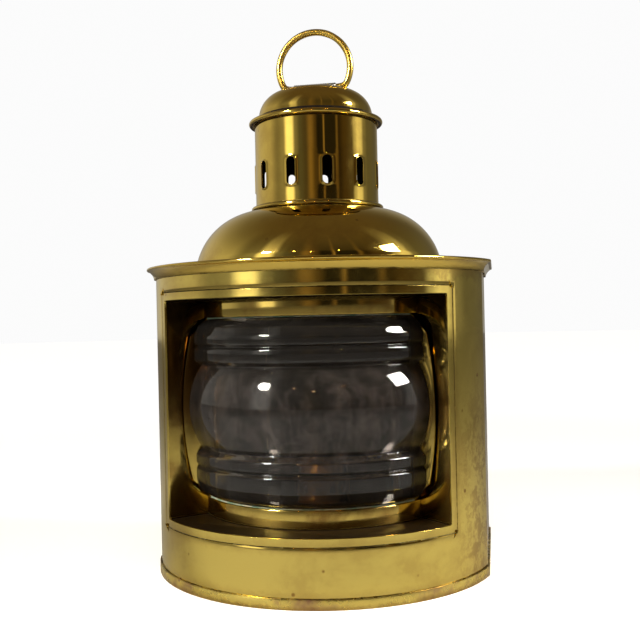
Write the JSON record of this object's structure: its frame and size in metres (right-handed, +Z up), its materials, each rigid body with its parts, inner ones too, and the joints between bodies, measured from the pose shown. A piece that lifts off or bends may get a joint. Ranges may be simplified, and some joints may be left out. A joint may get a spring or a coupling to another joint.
{
  "type": "ship lantern",
  "caption": "D-shaped sheet-brass oil lantern with a ribbed sector lens, slotted chimney, swinging ring handle and hinged back door.",
  "frame": {"origin": "underside of the base, on the upright axis shared by the lens, dome and chimney", "axes": "+Z up, -Y out through the middle of the lens, +Y towards the flat back, +X to the right seen from the front"},
  "size_m": [0.1752, 0.1624, 0.2756],
  "materials": {
    "body_brass": "polished sheet brass with fine scratches, small pits and brown spots",
    "base_brass": "tarnished polished brass with a pinkish brown bloom",
    "recess_brass": "polished brass darkened in the corners",
    "hood_brass": "mirror-polished spun brass with a dull film in places",
    "handle_brass": "polished brass, worn bright",
    "back_brass": "dull brass sheet with tarnish",
    "rivet_brass": "dull brass with dark seats",
    "fitting_brass": "satin brass, handled bright at the edges",
    "inside_brass": "dark unpolished brass with soot",
    "reflector_tin": "tinned sheet, clouded",
    "pin_steel": "plain steel wire",
    "lens_glass": "clear pressed glass with dust and smears",
    "glazing_putty": "old white putty with green staining",
    "lamp_brass": "tarnished brass tank",
    "burner_brass": "heat-darkened brass",
    "wick_cotton": "woven flat cotton wick, charred at its top edge"
  },
  "bodies": {
    "lantern_body": {"body_shell": "body_brass", "base_pan": "base_brass", "window_frame": "body_brass", "left_wing": "recess_brass", "right_wing": "recess_brass", "window_shelf": "recess_brass", "window_ceiling": "recess_brass", "lower_lens_collar": "recess_brass", "upper_lens_collar": "recess_brass", "fresnel_lens": "lens_glass", "lens_putty": "glazing_putty", "left_lens_channel": "recess_brass", "right_lens_channel": "recess_brass", "top_plate": "hood_brass", "dome": "hood_brass", "chimney": "hood_brass", "chimney_foot_ring": "hood_brass", "chimney_cap": "hood_brass", "handle_saddle": "handle_brass", "back_panel": "back_brass", "back_panel_rivets": "rivet_brass", "frame_hinge_leaves": "fitting_brass", "hinge_pins": "pin_steel", "frame_hinge_rivets": "rivet_brass", "catch_pivot": "fitting_brass", "hanging_socket": "fitting_brass", "hanging_socket_rivets": "rivet_brass", "font_ring": "inside_brass"},
    "ring_handle": {"ring_handle": "handle_brass"},
    "door": {"door": "back_brass", "door_knob": "handle_brass", "reflector": "reflector_tin", "reflector_rivets": "rivet_brass", "door_hinge_leaves": "fitting_brass", "door_hinge_rivets": "rivet_brass"},
    "turn_catch": {"turn_catch": "fitting_brass"},
    "lamp": {"font": "lamp_brass", "font_collar": "lamp_brass", "filler_neck": "lamp_brass", "burner_base": "burner_brass", "wick_tube": "burner_brass", "burner_deflector": "burner_brass"},
    "filler_cap": {"filler_cap": "lamp_brass"},
    "wick_winder": {"wick_shaft": "burner_brass", "wick_wheels": "burner_brass", "wick_knob": "burner_brass"},
    "wick": {"wick": "wick_cotton"}
  },
  "joints": [
    {"name": "ring_swing", "type": "hinge", "parent": "lantern_body", "child": "ring_handle", "pos_m": [0, 0, 0.2449], "axis": [1, 0, 0], "range_deg": [-90, 90]},
    {"name": "door_hinge", "type": "hinge", "parent": "lantern_body", "child": "door", "pos_m": [0.0556, 0.069, 0.065], "axis": [0, 0, -1], "range_deg": [0, 150]},
    {"name": "catch_turn", "type": "hinge", "parent": "lantern_body", "child": "turn_catch", "pos_m": [-0.0605, 0.0691, 0.065], "axis": [0, 1, 0], "range_deg": [0, 90]},
    {"name": "lamp_lift", "type": "slide", "parent": "lantern_body", "child": "lamp", "axis": [0, 0, 1], "range_m": [0, 0.012]},
    {"name": "filler_cap_turn", "type": "hinge", "parent": "lamp", "child": "filler_cap", "pos_m": [0.01647, 0.01382, 0.03], "axis": [0, 0, 1], "range_deg": [0, 720]},
    {"name": "wick_knob_turn", "type": "hinge", "parent": "lamp", "child": "wick_winder", "pos_m": [0, 0.0043, 0.038], "axis": [1, 0, 0], "range_deg": [-90, 90]},
    {"name": "wick_slide", "type": "slide", "parent": "lamp", "child": "wick", "axis": [0, 0, 1], "range_m": [-0.0054, 0.0054]}
  ],
  "couplings": [
    {"joint": "wick_slide", "follows": "wick_knob_turn", "m_per_rad": -0.0034}
  ]
}
